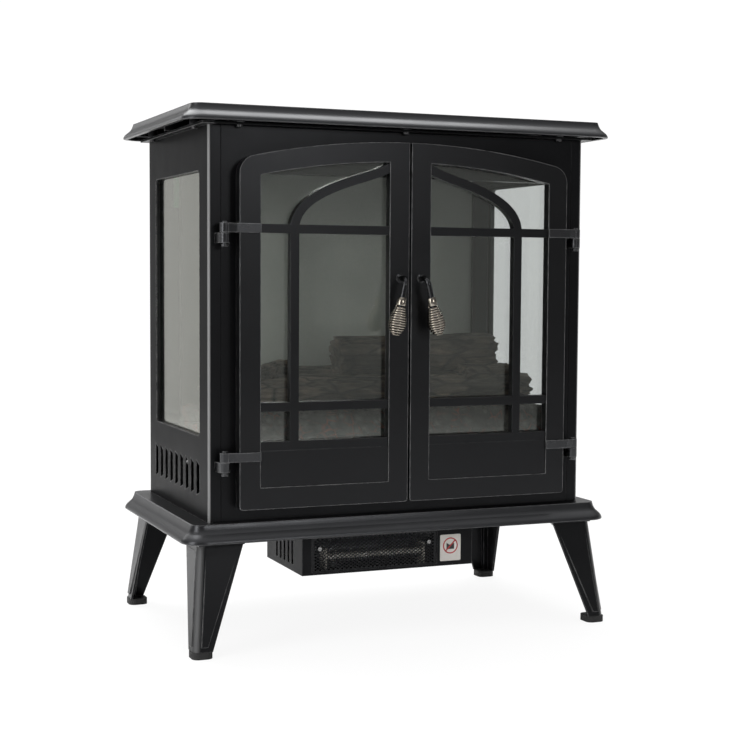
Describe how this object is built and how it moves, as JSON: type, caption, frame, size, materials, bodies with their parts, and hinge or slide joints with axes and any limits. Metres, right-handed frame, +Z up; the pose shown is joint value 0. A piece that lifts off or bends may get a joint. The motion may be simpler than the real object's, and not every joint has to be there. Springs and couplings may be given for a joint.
{
  "type": "electric fireplace",
  "caption": "Free-standing electric fireplace shaped as a black iron stove, with arched lattice doors, log and flame set, fan heater and splayed legs.",
  "frame": {"origin": "centre of the bounding box at floor level, under the feet", "axes": "+Z up, the doors face -Y, +X to the right of a person facing the doors"},
  "size_m": [0.571, 0.364, 0.65],
  "materials": {
    "slab_paint": "satin black powder coat on the two slabs",
    "cabinet_paint": "satin black powder coat",
    "inner_paint": "matt heat-resistant black",
    "door_paint": "satin black stove paint",
    "side_glass": "smoked, polished",
    "door_glass": "smoked, polished",
    "pad_rubber": "matt",
    "zinc_fixings": "zinc plated",
    "heating_wire": "oxidised resistance wire",
    "ceramic_former": "unglazed",
    "galvanised_sheet": "galvanised",
    "motor_steel": "grey",
    "label_film": "cream film with a red ring",
    "log_resin": "moulded and painted bark",
    "ember_resin": "moulded embers and ash",
    "screen_acrylic": "smoked translucent sheet",
    "led_board": "white board with yellow emitters",
    "circuit_board": "green board",
    "bright_strip": "polished",
    "black_plastic": "fine texture",
    "magnet_ferrite": "ground face",
    "handle_enamel": "gloss black",
    "nickel_wire": "antique nickel"
  },
  "bodies": {
    "cabinet": {"base_slab": "slab_paint", "top_slab": "slab_paint", "top_plate": "cabinet_paint", "front_fascia": "cabinet_paint", "left_side_panel": "cabinet_paint", "right_side_panel": "cabinet_paint", "rear_panel": "cabinet_paint", "firebox_floor": "inner_paint", "window_frames": "inner_paint", "window_panes": "side_glass", "leg_front_left": "cabinet_paint", "leg_front_right": "cabinet_paint", "leg_rear_left": "cabinet_paint", "leg_rear_right": "cabinet_paint", "foot_pads": "pad_rubber", "leg_bolts": "zinc_fixings", "slab_screws": "zinc_fixings", "panel_screws": "zinc_fixings", "heater_box": "cabinet_paint", "heater_grille": "inner_paint", "heating_element": "heating_wire", "element_support": "ceramic_former", "fan_housing": "galvanised_sheet", "fan_motor": "motor_steel", "thermal_cutout": "galvanised_sheet", "caution_label": "label_film", "log_set": "log_resin", "ember_bed": "ember_resin", "flame_screen": "screen_acrylic", "screen_brackets": "inner_paint", "flame_motor": "motor_steel", "rotor_bracket": "galvanised_sheet", "led_strip": "led_board", "control_plate": "cabinet_paint", "control_board": "circuit_board", "cord_gland": "black_plastic", "hinge_brackets": "door_paint", "hinge_pins": "door_paint", "door_magnets": "magnet_ferrite"},
    "left_door": {"left_door_frame": "door_paint", "left_door_lattice": "door_paint", "left_door_glass": "door_glass", "left_door_liner": "door_paint", "left_hinge_straps": "door_paint", "left_handle_rod": "handle_enamel", "left_handle_grip": "nickel_wire"},
    "right_door": {"right_door_frame": "door_paint", "right_door_lattice": "door_paint", "right_door_glass": "door_glass", "right_door_liner": "door_paint", "right_hinge_straps": "door_paint", "right_handle_rod": "handle_enamel", "right_handle_grip": "nickel_wire"},
    "fan": {"fan_wheel": "galvanised_sheet"},
    "flame_rotor": {"rotor_spindle": "zinc_fixings", "rotor_vanes": "bright_strip"},
    "power_switch": {"power_rocker": "black_plastic"},
    "heat_switch": {"heat_rocker": "black_plastic"},
    "thermostat": {"thermostat_knob": "black_plastic"},
    "flame_dial": {"flame_knob": "black_plastic"}
  },
  "joints": [
    {"name": "left_door_hinge", "type": "hinge", "parent": "cabinet", "child": "left_door", "pos_m": [-0.235, -0.144, 0.4], "axis": [0, 0, -1], "range_deg": [0, 115]},
    {"name": "right_door_hinge", "type": "hinge", "parent": "cabinet", "child": "right_door", "pos_m": [0.235, -0.144, 0.4], "axis": [0, 0, 1], "range_deg": [0, 115]},
    {"name": "fan_spin", "type": "hinge", "parent": "cabinet", "child": "fan", "pos_m": [0, 0.012, 0.105], "axis": [1, 0, 0], "continuous": true},
    {"name": "flame_rotor_spin", "type": "hinge", "parent": "cabinet", "child": "flame_rotor", "pos_m": [0, 0.118, 0.274], "axis": [1, 0, 0], "continuous": true},
    {"name": "power_rocker_tip", "type": "hinge", "parent": "cabinet", "child": "power_switch", "pos_m": [-0.205, 0.147, 0.56], "axis": [1, 0, 0], "range_deg": [0, 12]},
    {"name": "heat_rocker_tip", "type": "hinge", "parent": "cabinet", "child": "heat_switch", "pos_m": [-0.175, 0.147, 0.56], "axis": [1, 0, 0], "range_deg": [0, 12]},
    {"name": "thermostat_turn", "type": "hinge", "parent": "cabinet", "child": "thermostat", "pos_m": [-0.14, 0.151, 0.56], "axis": [0, 1, 0], "range_deg": [0, 270]},
    {"name": "flame_dial_turn", "type": "hinge", "parent": "cabinet", "child": "flame_dial", "pos_m": [-0.1, 0.151, 0.56], "axis": [0, 1, 0], "range_deg": [0, 270]}
  ]
}
